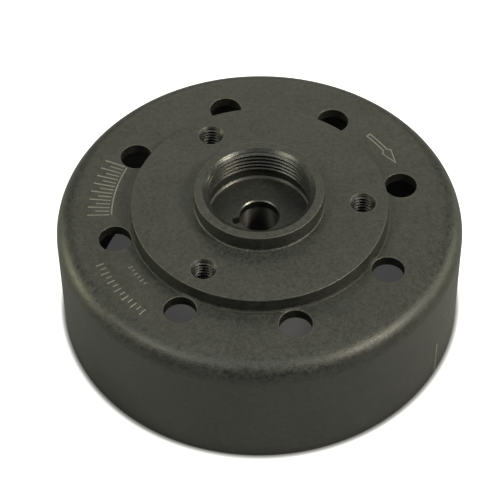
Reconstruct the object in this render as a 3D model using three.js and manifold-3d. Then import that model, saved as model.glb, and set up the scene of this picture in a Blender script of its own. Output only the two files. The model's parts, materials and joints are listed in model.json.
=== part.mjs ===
// Magneto flywheel of a small engine: a steel cup on a tapered hub, with eight arc magnets
// held against the cup's inner wall by filler wedges, a seat ring and a thin lipped sleeve.
// Millimetres, +Z up along the axis of rotation. The origin is the centre of the open rim's plane.
import * as THREE from "three";
import { mergeVertices } from "three/addons/utils/BufferGeometryUtils.js";
import Module from "manifold-3d";

// Cup: outer diameter, height to the web's outer face, wall, web and corner radii
const CUP_RADIUS = 52;
const WEB_TOP = 33.8;
const WEB_THICKNESS = 3;
const CUP_INNER_RADIUS = 49;
const CORNER_RADIUS = 5.2;
const INNER_CORNER_RADIUS = 3;
const RIM_CHAMFER = 0.4;
const WEB_BORE_RADIUS = 18;

// Low land on the web that the hub's flange sits on
const LAND_RADIUS = 33.35;
const LAND_HEIGHT = 0.25;

// Round vent holes through the cup's web
const VENT_COUNT = 8;
const VENT_RADIUS = 4.1;
const VENT_CIRCLE_RADIUS = 37.5;
const VENT_FIRST_ANGLE = 13;

// Hub: flange disc on the web, collar with the puller thread, boss with the taper
const FLANGE_RADIUS = 32.65;
const FLANGE_TOP = 37.9;
const COLLAR_RADIUS = 16.5;
const COLLAR_TOP = 42.3;
const EDGE_CHAMFER = 0.25;
const SPIGOT_RADIUS = 17.8;
const BOSS_RADIUS = 14.5;
const BOSS_BOTTOM = 11;
const BOSS_CHAMFER = 0.8;

// Puller socket in the collar: the minor bore of an M27 x 1.25 thread, its run-out and the nut seat
const SOCKET_MOUTH_RADIUS = 14.26;
const SOCKET_THREAD_RADIUS = 12.83;
const SOCKET_CHAMFER_DEPTH = 1;
const SOCKET_THREAD_BOTTOM = 35.05;
const SOCKET_RELIEF_RADIUS = 13.35;
const SOCKET_RELIEF_BOTTOM = 32.8;
const SOCKET_STEP_RADIUS = 13.1;
const SOCKET_FLOOR_RADIUS = 12.75;
const SOCKET_FLOOR = 32.4;

// Taper bore: 1 in 5 on the diameter, with a keyway parallel to the cone
const TAPER_SMALL_RADIUS = 4.97;
const TAPER_SLOPE = 0.1;
const TAPER_CHAMFER = 0.4;
const KEYWAY_WIDTH = 2;
const KEYWAY_DEPTH = 2.1;
const KEYWAY_ANGLE = -164;

// Three tapped holes in the flange: the minor bore of M6, through the flange and the web
const TAPPED_COUNT = 3;
const TAPPED_RADIUS = 2.5;
const TAPPED_MOUTH_RADIUS = 3.3;
const TAPPED_CIRCLE_RADIUS = 26.3;
const TAPPED_FIRST_ANGLE = -2.3;

// Magnet ring
const MAGNET_COUNT = 8;
const MAGNET_OUTER_RADIUS = 48.7;
const MAGNET_INNER_RADIUS = 44.7;
const MAGNET_BOTTOM = 3.2;
const MAGNET_TOP = 28;
const MAGNET_SPAN = 39;
const WEDGE_CLEARANCE = 0.3;
const SLEEVE_INNER_RADIUS = 43.9;
const SLEEVE_THICKNESS = 0.5;
const SLEEVE_BOTTOM = 2.4;
const SLEEVE_LIP_RADIUS = 45.8;
const SEAT_RING_INNER_RADIUS = 44;
const SEAT_RING_OUTER_RADIUS = 48.4;
const SEAT_RING_BEVEL_RADIUS = 46.6;
const SEAT_RING_LIP = 0.4;

// Clearance that keeps touching pieces apart
const GAP = 0.2;

const LAND_TOP = WEB_TOP + LAND_HEIGHT;

// Facets of the round shapes
const CUP_FACETS = 72;
const HUB_FACETS = 48;
const HOLE_FACETS = 16;
const CORNER_STEPS = 6;
const MAGNET_STEPS = 8;
const WEDGE_STEPS = 2;

const wasm = await Module();
wasm.setup();

const MATERIALS = {
  phosphated_steel: finish(0x4b4c46, 0.55, 0.6),
  ferrite: finish(0x35363a, 0.7, 0.1),
  resin: finish(0x6e6248, 0.6, 0),
  stainless: finish(0xa8aaa9, 0.35, 0.9),
  nylon: finish(0x26282b, 0.65, 0),
};

function finish(color, roughness, metalness) {
  return new THREE.MeshStandardMaterial({ color, roughness, metalness });
}

// Ring or disc turned about +Z from [radius, height] pairs, listed anticlockwise.
function turned(outline, facets) {
  const points = outline.map(([radius, height]) => new THREE.Vector2(radius, height));
  points.push(points[0].clone());
  return new THREE.LatheGeometry(points, facets).rotateX(Math.PI / 2);
}

// [radius, height] pairs along an arc, ends included, with angles in degrees.
function arcPoints(centreRadius, centreHeight, radius, fromAngle, toAngle, steps) {
  return Array.from({ length: steps + 1 }, (_, i) => {
    const angle = THREE.MathUtils.degToRad(fromAngle + ((toAngle - fromAngle) * i) / steps);
    return [centreRadius + radius * Math.cos(angle), centreHeight + radius * Math.sin(angle)];
  });
}

// Upright cylinder or cone between two heights, moved to a place on the plan.
function drill(bottomRadius, topRadius, bottom, top, x, y) {
  return new THREE.CylinderGeometry(topRadius, bottomRadius, top - bottom, HOLE_FACETS)
    .rotateX(Math.PI / 2)
    .translate(x, y, (top + bottom) / 2);
}

function toSolid(geometry) {
  const bare = geometry.clone();
  bare.deleteAttribute("normal");
  bare.deleteAttribute("uv");
  const merged = mergeVertices(bare, 1e-4);
  return new wasm.Manifold(
    new wasm.Mesh({
      numProp: 3,
      vertProperties: merged.attributes.position.array,
      triVerts: new Uint32Array(merged.index.array),
    }),
  );
}

function toGeometry(solid) {
  const { vertProperties, triVerts } = solid.getMesh();
  const geometry = new THREE.BufferGeometry();
  geometry.setAttribute("position", new THREE.BufferAttribute(vertProperties, 3));
  geometry.setIndex(new THREE.BufferAttribute(triVerts, 1));
  geometry.computeVertexNormals();
  return geometry;
}

function cut(geometry, tools) {
  const solid = tools.reduce((left, tool) => left.subtract(toSolid(tool)), toSolid(geometry));
  return toGeometry(solid);
}

// The plan position of each of count places on a circle.
function onCircle(radius, firstAngle, count) {
  return Array.from({ length: count }, (_, i) => {
    const angle = THREE.MathUtils.degToRad(firstAngle + (360 * i) / count);
    return [radius * Math.cos(angle), radius * Math.sin(angle)];
  });
}

function named(name, geometry, material) {
  const mesh = new THREE.Mesh(geometry, material);
  mesh.name = name;
  return mesh;
}

// Tapped holes run through both the flange and the web; both pieces use the same drills.
function tappedHoleDrills() {
  const mouthDepth = TAPPED_MOUTH_RADIUS - TAPPED_RADIUS;
  const bottom = WEB_TOP - WEB_THICKNESS - 1;
  return onCircle(TAPPED_CIRCLE_RADIUS, TAPPED_FIRST_ANGLE, TAPPED_COUNT).flatMap(([x, y]) => [
    drill(TAPPED_RADIUS, TAPPED_RADIUS, bottom, FLANGE_TOP + 1, x, y),
    drill(
      TAPPED_RADIUS,
      TAPPED_MOUTH_RADIUS + mouthDepth,
      FLANGE_TOP - mouthDepth,
      FLANGE_TOP + mouthDepth,
      x,
      y,
    ),
  ]);
}

function ventDrills() {
  return onCircle(VENT_CIRCLE_RADIUS, VENT_FIRST_ANGLE, VENT_COUNT).map(([x, y]) =>
    drill(VENT_RADIUS, VENT_RADIUS, WEB_TOP - WEB_THICKNESS - 1, WEB_TOP + 1, x, y),
  );
}

// Deep cup with a flat web, a rounded outer corner and an open rim at the bottom.
function rotorCup() {
  const webBottom = WEB_TOP - WEB_THICKNESS;
  const outline = [
    [CUP_INNER_RADIUS + RIM_CHAMFER, 0],
    [CUP_RADIUS - RIM_CHAMFER, 0],
    [CUP_RADIUS, RIM_CHAMFER],
    ...arcPoints(CUP_RADIUS - CORNER_RADIUS, WEB_TOP - CORNER_RADIUS, CORNER_RADIUS, 0, 90, CORNER_STEPS),
    [LAND_RADIUS, WEB_TOP],
    [LAND_RADIUS, LAND_TOP],
    [WEB_BORE_RADIUS, LAND_TOP],
    [WEB_BORE_RADIUS, webBottom],
    ...arcPoints(
      CUP_INNER_RADIUS - INNER_CORNER_RADIUS,
      webBottom - INNER_CORNER_RADIUS,
      INNER_CORNER_RADIUS,
      90,
      0,
      CORNER_STEPS,
    ),
    [CUP_INNER_RADIUS, RIM_CHAMFER],
  ];
  return cut(turned(outline, CUP_FACETS), [...ventDrills(), ...tappedHoleDrills()]);
}

function taperRadiusAt(height) {
  return TAPER_SMALL_RADIUS + TAPER_SLOPE * (SOCKET_FLOOR - height);
}

// Long bar whose outer face lies along the keyway's bottom, tilted with the cone.
function keywayBar() {
  const middle = (SOCKET_FLOOR + BOSS_BOTTOM) / 2;
  const barDepth = 4;
  const barLength = 1.4 * (SOCKET_FLOOR - BOSS_BOTTOM);
  return new THREE.BoxGeometry(barDepth, KEYWAY_WIDTH, barLength)
    .translate(-barDepth / 2, 0, 0)
    .rotateY(-Math.atan(TAPER_SLOPE))
    .translate(taperRadiusAt(middle) + KEYWAY_DEPTH, 0, middle)
    .rotateZ(THREE.MathUtils.degToRad(KEYWAY_ANGLE));
}

// Turned hub: boss and spigot below, flange disc on the web, collar with the puller socket on top.
function hub() {
  const flangeBottom = LAND_TOP + GAP;
  const spigotBottom = WEB_TOP - WEB_THICKNESS - EDGE_CHAMFER;
  const outline = [
    [taperRadiusAt(BOSS_BOTTOM), BOSS_BOTTOM],
    [BOSS_RADIUS - BOSS_CHAMFER, BOSS_BOTTOM],
    [BOSS_RADIUS, BOSS_BOTTOM + BOSS_CHAMFER],
    [BOSS_RADIUS, spigotBottom],
    [SPIGOT_RADIUS, spigotBottom],
    [SPIGOT_RADIUS, flangeBottom],
    [FLANGE_RADIUS, flangeBottom],
    [FLANGE_RADIUS, FLANGE_TOP - EDGE_CHAMFER],
    [FLANGE_RADIUS - EDGE_CHAMFER, FLANGE_TOP],
    [COLLAR_RADIUS, FLANGE_TOP],
    [COLLAR_RADIUS, COLLAR_TOP - EDGE_CHAMFER],
    [COLLAR_RADIUS - EDGE_CHAMFER, COLLAR_TOP],
    [SOCKET_MOUTH_RADIUS, COLLAR_TOP],
    [SOCKET_THREAD_RADIUS, COLLAR_TOP - SOCKET_CHAMFER_DEPTH],
    [SOCKET_THREAD_RADIUS, SOCKET_THREAD_BOTTOM],
    [SOCKET_RELIEF_RADIUS, SOCKET_THREAD_BOTTOM - EDGE_CHAMFER],
    [SOCKET_RELIEF_RADIUS, SOCKET_RELIEF_BOTTOM],
    [SOCKET_STEP_RADIUS, SOCKET_RELIEF_BOTTOM],
    [SOCKET_FLOOR_RADIUS, SOCKET_FLOOR],
    [TAPER_SMALL_RADIUS + TAPER_CHAMFER, SOCKET_FLOOR],
    [taperRadiusAt(SOCKET_FLOOR - TAPER_CHAMFER), SOCKET_FLOOR - TAPER_CHAMFER],
  ];
  return cut(turned(outline, HUB_FACETS), [keywayBar(), ...tappedHoleDrills()]);
}

// Thin sleeve over the magnets' faces, with a narrow lip turned out under their lower ends.
function magnetSleeve() {
  const outer = SLEEVE_INNER_RADIUS + SLEEVE_THICKNESS;
  const lipTop = SLEEVE_BOTTOM + SLEEVE_THICKNESS;
  const outline = [
    [SLEEVE_INNER_RADIUS, SLEEVE_BOTTOM],
    [SLEEVE_LIP_RADIUS, SLEEVE_BOTTOM],
    [SLEEVE_LIP_RADIUS, lipTop],
    [outer, lipTop],
    [outer, MAGNET_TOP],
    [SLEEVE_INNER_RADIUS, MAGNET_TOP],
  ];
  return turned(outline, CUP_FACETS);
}

// Moulded ring between the web and the magnets' upper ends, bevelled to clear the cup's inner corner.
function magnetSeatRing() {
  const bottom = MAGNET_TOP + GAP;
  const top = WEB_TOP - WEB_THICKNESS - GAP;
  const outline = [
    [SEAT_RING_INNER_RADIUS, bottom],
    [SEAT_RING_OUTER_RADIUS, bottom],
    [SEAT_RING_OUTER_RADIUS, bottom + SEAT_RING_LIP],
    [SEAT_RING_BEVEL_RADIUS, top],
    [SEAT_RING_INNER_RADIUS, top],
  ];
  return turned(outline, CUP_FACETS);
}

// Upright block between the magnet ring's two radii, centred on +X, spanning halfAngle each side.
function arcBlock(halfAngleInner, halfAngleOuter, steps) {
  const inner = arcPoints(0, 0, MAGNET_INNER_RADIUS, -halfAngleInner, halfAngleInner, steps);
  const outer = arcPoints(0, 0, MAGNET_OUTER_RADIUS, halfAngleOuter, -halfAngleOuter, steps);
  const shape = new THREE.Shape([...inner, ...outer].map(([x, y]) => new THREE.Vector2(x, y)));
  const height = MAGNET_TOP - MAGNET_BOTTOM;
  return new THREE.ExtrudeGeometry(shape, { depth: height, bevelEnabled: false });
}

function magnetBlock() {
  return arcBlock(MAGNET_SPAN / 2, MAGNET_SPAN / 2, MAGNET_STEPS);
}

// Wedge that fills the space between two magnets, less a clearance on each side.
function wedgeBlock() {
  const halfSpace = 180 / MAGNET_COUNT - MAGNET_SPAN / 2;
  const clearance = (radius) => THREE.MathUtils.radToDeg(WEDGE_CLEARANCE / radius);
  return arcBlock(
    halfSpace - clearance(MAGNET_INNER_RADIUS),
    halfSpace - clearance(MAGNET_OUTER_RADIUS),
    WEDGE_STEPS,
  );
}

// Eight turned copies of one block, each in the magnet ring at its own angle.
function ringOf(name, geometry, material, firstAngle) {
  const ring = new THREE.Group();
  for (let i = 0; i < MAGNET_COUNT; i += 1) {
    const block = named(`${name}_${i + 1}`, geometry, material);
    block.position.z = MAGNET_BOTTOM;
    block.rotation.z = THREE.MathUtils.degToRad(firstAngle + (360 * i) / MAGNET_COUNT);
    ring.add(block);
  }
  return ring;
}

const flywheel = new THREE.Group();
flywheel.add(
  named("rotor_cup", rotorCup(), MATERIALS.phosphated_steel),
  named("hub", hub(), MATERIALS.phosphated_steel),
  named("magnet_sleeve", magnetSleeve(), MATERIALS.stainless),
  named("magnet_seat_ring", magnetSeatRing(), MATERIALS.nylon),
  ringOf("magnet", magnetBlock(), MATERIALS.ferrite, 0),
  ringOf("filler_wedge", wedgeBlock(), MATERIALS.resin, 180 / MAGNET_COUNT),
);

export default flywheel;
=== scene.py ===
"""Magneto flywheel of a small engine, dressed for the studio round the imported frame.

Metres, +Z up along the axis of rotation, with the origin at the centre of the open rim's plane.
"""

import json
import logging
import math
from dataclasses import dataclass, field, replace
from enum import Enum
from typing import Callable, Iterable, Sequence

import bmesh
import bpy
import numpy as np
from mathutils import Matrix, Quaternion, Vector


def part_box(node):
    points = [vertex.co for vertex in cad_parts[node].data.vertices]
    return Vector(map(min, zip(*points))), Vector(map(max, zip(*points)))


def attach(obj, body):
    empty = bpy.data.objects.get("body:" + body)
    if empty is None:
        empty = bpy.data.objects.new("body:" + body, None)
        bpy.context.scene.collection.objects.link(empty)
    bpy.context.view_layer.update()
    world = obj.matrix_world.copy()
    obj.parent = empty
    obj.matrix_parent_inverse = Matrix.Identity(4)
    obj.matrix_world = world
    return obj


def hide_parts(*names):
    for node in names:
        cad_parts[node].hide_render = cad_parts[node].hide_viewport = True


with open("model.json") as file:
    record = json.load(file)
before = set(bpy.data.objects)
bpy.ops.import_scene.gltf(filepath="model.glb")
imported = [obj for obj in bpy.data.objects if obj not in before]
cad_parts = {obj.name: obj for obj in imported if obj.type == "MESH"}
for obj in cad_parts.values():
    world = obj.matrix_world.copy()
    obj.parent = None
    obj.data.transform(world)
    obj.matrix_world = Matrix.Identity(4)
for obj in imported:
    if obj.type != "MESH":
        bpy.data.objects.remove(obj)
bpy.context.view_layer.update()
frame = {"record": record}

LOG = logging.getLogger("flywheel")
MM = 0.001
BODY = "root"

Mesh = bpy.types.Mesh
Object = bpy.types.Object
Material = bpy.types.Material
Node = bpy.types.Node
Socket = bpy.types.NodeSocket
Tree = bpy.types.NodeTree
Point2 = tuple[float, float]
Point3 = tuple[float, float, float]
Color = tuple[float, float, float]


# ---------------------------------------------------------------- frame facts


def mount_height(name: str) -> float:
    """Height of one of the record's mount faces.

    Args:
        name: the mount's name in the record.

    Returns:
        Its Z in metres.
    """
    for mount in frame["record"]["mounts"]:
        if mount["name"] == name:
            return float(mount["pos_m"][2])
    raise KeyError(name)


def half_width(node: str) -> float:
    """Outer radius of a turned node of the frame, in metres."""
    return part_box(node)[1].x


# ---------------------------------------------------------------- mesh building


@dataclass(frozen=True)
class Corner:
    """One corner of a turned outline: its radius, its height and the arc that rounds it."""

    radius: float
    height: float
    blend: float = 0.0


def rounded_outline(corners: Sequence[Corner], closed: bool = True, arc_step: float = 9.0) -> list[Point2]:
    """Replaces each corner that has a blend with an arc.

    Args:
        corners: the outline's corners in order.
        closed: whether the last corner joins the first.
        arc_step: the most degrees that one arc segment turns.

    Returns:
        The outline as (radius, height) points.
    """
    points: list[Point2] = []
    count = len(corners)
    for i, corner in enumerate(corners):
        here = Vector((corner.radius, corner.height))
        at_end = not closed and i in (0, count - 1)
        if corner.blend <= 0 or at_end:
            points.append((here.x, here.y))
            continue
        before, after = corners[i - 1], corners[(i + 1) % count]
        back = (Vector((before.radius, before.height)) - here).normalized()
        ahead = (Vector((after.radius, after.height)) - here).normalized()
        half = back.angle(ahead) / 2
        reach = corner.blend / math.tan(half)
        centre = here + (back + ahead).normalized() * (corner.blend / math.sin(half))
        start, end = here + back * reach - centre, here + ahead * reach - centre
        turn = start.angle_signed(end)
        steps = max(2, math.ceil(abs(math.degrees(turn)) / arc_step))
        for k in range(steps + 1):
            spun = start.copy()
            spun.rotate(Matrix.Rotation(-turn * k / steps, 2))
            points.append(tuple(centre + spun))
    return points


def turned_mesh(name: str, outline: Sequence[Point2], segments: int) -> Mesh:
    """Turns a closed outline about the Z axis.

    Args:
        name: the new mesh's name.
        outline: (radius, height) points, anticlockwise with the radius to the right.
        segments: facets round the axis.

    Returns:
        A closed mesh whose faces point outwards.
    """
    profile = np.array(outline)
    rows = len(profile)
    angles = np.arange(segments) * (2 * math.pi / segments)
    ring = np.stack([np.cos(angles), np.sin(angles)], axis=1)
    flat = (ring[:, None, :] * profile[None, :, :1]).reshape(-1, 2)
    heights = np.tile(profile[:, 1], segments)
    verts = np.column_stack([flat, heights])
    faces = []
    for i in range(segments):
        here, there = i * rows, ((i + 1) % segments) * rows
        for j in range(rows):
            k = (j + 1) % rows
            faces.append((here + j, there + j, there + k, here + k))
    return clean_mesh(name, verts, faces)


def clean_mesh(name: str, verts: np.ndarray, faces: Sequence[Sequence[int]]) -> Mesh:
    """Makes a mesh and merges the vertices that coincide, such as those on the axis.

    Args:
        name: the new mesh's name.
        verts: one row of X, Y and Z per vertex.
        faces: the vertices of each face.

    Returns:
        The mesh, with no doubled vertex and no collapsed face.
    """
    mesh = bpy.data.meshes.new(name)
    mesh.from_pydata(verts.tolist(), [], [list(f) for f in faces])
    work = bmesh.new()
    work.from_mesh(mesh)
    bmesh.ops.remove_doubles(work, verts=work.verts, dist=1e-8)
    bmesh.ops.dissolve_degenerate(work, edges=work.edges, dist=1e-9)
    work.to_mesh(mesh)
    work.free()
    return mesh


def joined_mesh(name: str, meshes: Iterable[Mesh]) -> Mesh:
    """Joins meshes into one and removes the originals.

    Args:
        name: the new mesh's name.
        meshes: the meshes to join.

    Returns:
        One mesh that holds them all.
    """
    work = bmesh.new()
    for mesh in meshes:
        work.from_mesh(mesh)
        bpy.data.meshes.remove(mesh)
    joined = bpy.data.meshes.new(name)
    work.to_mesh(joined)
    work.free()
    return joined


def new_object(name: str, mesh: Mesh) -> Object:
    """Links a mesh to the scene as an object of the same name."""
    mesh.name = name
    made = bpy.data.objects.new(name, mesh)
    bpy.context.scene.collection.objects.link(made)
    return made


def apply_modifiers(piece: Object) -> None:
    """Bakes an object's modifiers into its mesh."""
    graph = bpy.context.evaluated_depsgraph_get()
    baked = bpy.data.meshes.new_from_object(piece.evaluated_get(graph))
    old = piece.data
    piece.modifiers.clear()
    piece.data = baked
    baked.name = piece.name
    bpy.data.meshes.remove(old)


def cut_away(piece: Object, cutters: Sequence[Mesh]) -> None:
    """Subtracts closed meshes that don't touch one another from an object.

    Args:
        piece: the object to cut.
        cutters: closed meshes in the row frame; they are used up.
    """
    tool = new_object("cutter", joined_mesh("cutter", cutters))
    boolean = piece.modifiers.new("cut", "BOOLEAN")
    boolean.operation = "DIFFERENCE"
    boolean.solver = "EXACT"
    boolean.object = tool
    apply_modifiers(piece)
    used = tool.data
    bpy.data.objects.remove(tool)
    bpy.data.meshes.remove(used)


def smooth(piece: Object, sharp_angle: float = 34.0) -> None:
    """Shades an object smooth, keeps its sharp edges and lets its large faces set the normals.

    Args:
        piece: the object to shade.
        sharp_angle: edges that turn by more degrees than this stay sharp.
    """
    piece.data.shade_smooth()
    piece.data.set_sharp_from_angle(angle=math.radians(sharp_angle))
    weighted = piece.modifiers.new("face_weight", "WEIGHTED_NORMAL")
    weighted.mode = "FACE_AREA"
    weighted.weight = 100
    weighted.keep_sharp = True
    apply_modifiers(piece)


def soften_edges(piece: Object, width: float, segments: int = 3, limit: float = 40.0) -> None:
    """Rounds an object's sharp edges.

    Args:
        piece: the object to bevel.
        width: the bevel's width in metres.
        segments: the bevel's segments.
        limit: edges that turn by more degrees than this are rounded.
    """
    bevel = piece.modifiers.new("edges", "BEVEL")
    bevel.width = width
    bevel.segments = segments
    bevel.limit_method = "ANGLE"
    bevel.angle_limit = math.radians(limit)
    apply_modifiers(piece)


def round_the_axis(tool: Mesh, radius: float, first_angle: float, count: int) -> list[Mesh]:
    """Evenly spaced copies of a mesh on a circle about the axis; the mesh itself is used up.

    Args:
        tool: the mesh, made on the Z axis.
        radius: the circle's radius in metres.
        first_angle: the first copy's angle from +X, in degrees.
        count: the number of copies.

    Returns:
        The moved copies.
    """
    copies = []
    for i in range(count):
        angle = math.radians(first_angle + 360 * i / count)
        copy = tool.copy()
        copy.transform(Matrix.Translation((radius * math.cos(angle), radius * math.sin(angle), 0)))
        copies.append(copy)
    bpy.data.meshes.remove(tool)
    return copies


def turned_piece(name: str, corners: Sequence[Corner], segments: int) -> Object:
    """Links a piece turned from a section's corners."""
    return new_object(name, turned_mesh(name, rounded_outline(corners), segments))


@dataclass(frozen=True)
class RoundHoleTool:
    """Cutter of a through hole whose two mouths are rounded."""

    radius: float
    bottom: float
    top: float
    mouth: float = 0.25 * MM
    facets: int = 64
    overshoot: float = 0.4 * MM

    def outline(self) -> list[Point2]:
        """The tool's half section, from the axis below the hole to the axis above it."""
        lean = math.radians(75)
        out: list[Point2] = []
        for level, sign in ((self.bottom, -1), (self.top, 1)):
            arc = []
            for k in range(6):
                angle = lean * k / 5
                arc.append((
                    self.radius + self.mouth * (1 - math.cos(angle)),
                    level - sign * self.mouth * (1 - math.sin(angle)),
                ))
            last = arc[-1]
            rise = sign * self.mouth
            arc.append((last[0] + self.mouth * math.tan(lean), last[1] + rise))
            arc.append((arc[-1][0], level + sign * self.overshoot))
            arc.append((0.0, level + sign * self.overshoot))
            out += arc[::-1] if sign < 0 else arc
        return out

    def mesh(self) -> Mesh:
        """The tool as a closed mesh on the Z axis."""
        return turned_mesh("round_hole", self.outline(), self.facets)


@dataclass(frozen=True)
class ThreadTool:
    """Cutter with the shape of a right-hand metric internal thread and a flared mouth."""

    major_radius: float
    pitch: float
    bottom: float
    face: float
    mouth_radius: float
    mouth_slope: float = 1.0
    overshoot: float = 0.3 * MM
    columns: int = 160

    PHASES = (0.0, 1 / 16, 0.14, 0.22, 0.30, 3 / 8, 0.44, 0.56, 5 / 8, 0.70, 0.78, 0.86, 15 / 16)
    DEPTH_PER_PITCH = 0.5413

    def radius_at(self, height: np.ndarray, turn: np.ndarray) -> np.ndarray:
        """Radius of the cutter's side.

        Args:
            height: heights in metres.
            turn: angles as a share of a full turn.

        Returns:
            The radii in metres, thread and flare together.
        """
        phase = (height - self.bottom) / self.pitch - turn
        away = np.abs(phase - np.round(phase))
        flank = np.clip((3 / 8 - away) / (5 / 16), 0, 1)
        depth = self.DEPTH_PER_PITCH * self.pitch
        thread = self.major_radius - depth * (1 - flank)
        flare = self.mouth_radius + (height - self.face) * self.mouth_slope
        return np.maximum(thread, flare)

    def mesh(self) -> Mesh:
        """The cutter as a closed mesh on the Z axis, its rows following the helix."""
        top = self.face + self.overshoot
        turns = math.ceil((top - self.bottom) / self.pitch) + 2
        steps = np.array([lead + p for lead in range(-1, turns) for p in self.PHASES])
        turn = np.arange(self.columns + 1) / self.columns
        grid_turn, grid_step = np.meshgrid(turn, steps, indexing="ij")
        height = np.clip(self.bottom + (grid_step + grid_turn) * self.pitch, self.bottom, top)
        radius = self.radius_at(height, grid_turn)
        angle = grid_turn * 2 * math.pi
        side = np.stack([radius * np.cos(angle), radius * np.sin(angle), height], axis=2)
        rows = len(steps)
        verts = side.reshape(-1, 3)
        faces: list[tuple[int, ...]] = []
        for i in range(self.columns):
            for j in range(rows - 1):
                a = i * rows + j
                b = (i + 1) * rows + j
                faces.append((a, b, b + 1, a + 1))
        centres = np.array([[0, 0, self.bottom], [0, 0, top]])
        low, high = len(verts), len(verts) + 1
        for i in range(self.columns):
            faces.append((low, (i + 1) * rows, i * rows))
            faces.append((high, i * rows + rows - 1, (i + 1) * rows + rows - 1))
        return clean_mesh("thread", np.vstack([verts, centres]), faces)


# ---------------------------------------------------------------- shader building


class Wiring:
    """Short calls that add and join nodes in one node tree."""

    def __init__(self, tree: Tree) -> None:
        """Keeps the tree that the calls work on."""
        self.tree = tree

    def add(self, kind: str, **settings: object) -> Node:
        """Adds a node and sets its properties."""
        node = self.tree.nodes.new(kind)
        for name, value in settings.items():
            setattr(node, name, value)
        return node

    def put(self, value: object, socket: Socket) -> None:
        """Links an output to a socket, or sets the socket to a plain value."""
        if isinstance(value, Socket):
            self.tree.links.new(value, socket)
        else:
            socket.default_value = value

    def math(self, operation: str, *values: object, clamp: bool = False) -> Socket:
        """Adds a Math node.

        Args:
            operation: the node's operation.
            values: its inputs, as outputs of other nodes or numbers.
            clamp: whether the result is kept between 0 and 1.

        Returns:
            The result's socket.
        """
        node = self.add("ShaderNodeMath", operation=operation, use_clamp=clamp)
        for value, socket in zip(values, node.inputs):
            self.put(value, socket)
        return node.outputs[0]

    def hypotenuse(self, first: object, second: object) -> Socket:
        """The root of the sum of two numbers' squares."""
        squares = [self.math("MULTIPLY", value, value) for value in (first, second)]
        return self.math("SQRT", self.math("ADD", *squares))

    def noise(self, vector: object, scale: object, detail: float, rough: float) -> Socket:
        """Adds a Noise Texture and gives its value's socket."""
        node = self.add("ShaderNodeTexNoise")
        self.put(vector, node.inputs["Vector"])
        self.put(scale, node.inputs["Scale"])
        node.inputs["Detail"].default_value = detail
        node.inputs["Roughness"].default_value = rough
        return node.outputs["Fac"]

    def remap(
        self, value: object, low: object, high: object, out_low: object = 0.0, out_high: object = 1.0
    ) -> Socket:
        """Maps one range smoothly to another.

        Args:
            value: the number to map.
            low: the value that gives out_low.
            high: the value that gives out_high.
            out_low: the result at and below low.
            out_high: the result at and above high.

        Returns:
            The result's socket.
        """
        node = self.add("ShaderNodeMapRange", interpolation_type="SMOOTHSTEP")
        for value_in, socket in zip((value, low, high, out_low, out_high), node.inputs):
            self.put(value_in, socket)
        return node.outputs[0]

    def mix(self, share: object, first: object, second: object) -> Socket:
        """Adds a colour Mix and gives its result's socket."""
        node = self.add("ShaderNodeMix", data_type="RGBA")
        self.put(share, node.inputs[0])
        self.put(first, node.inputs[6])
        self.put(second, node.inputs[7])
        return node.outputs[2]

    def blend(self, share: object, first: object, second: object) -> Socket:
        """Adds a linear blend of two numbers and gives its result's socket."""
        node = self.add("ShaderNodeMapRange")
        for value_in, socket in zip((share, 0.0, 1.0, first, second), node.inputs):
            self.put(value_in, socket)
        return node.outputs[0]

    def group(self, tree: Tree, **values: object) -> Node:
        """Places a node group; a value's name is its socket's, with _ for a space."""
        node = self.add("ShaderNodeGroup", node_tree=tree)
        for name, value in values.items():
            self.put(value, node.inputs[name.replace("_", " ")])
        return node


def rgba(color: Color) -> tuple[float, float, float, float]:
    """A colour with full alpha."""
    return (*color, 1.0)


def new_group(
    name: str, inputs: dict[str, float], outputs: Sequence[str]
) -> tuple[Tree, Wiring, Node, Node]:
    """Starts a shader node group whose sockets all hold numbers.

    Args:
        name: the group's name.
        inputs: each input's name and default value.
        outputs: the outputs' names.

    Returns:
        The group, its wiring, and its input and output nodes.
    """
    tree = bpy.data.node_groups.new(name, "ShaderNodeTree")
    for label, default in inputs.items():
        socket = tree.interface.new_socket(name=label, in_out="INPUT", socket_type="NodeSocketFloat")
        socket.default_value = default
    for label in outputs:
        tree.interface.new_socket(name=label, in_out="OUTPUT", socket_type="NodeSocketFloat")
    wiring = Wiring(tree)
    return tree, wiring, wiring.add("NodeGroupInput"), wiring.add("NodeGroupOutput")


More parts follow.
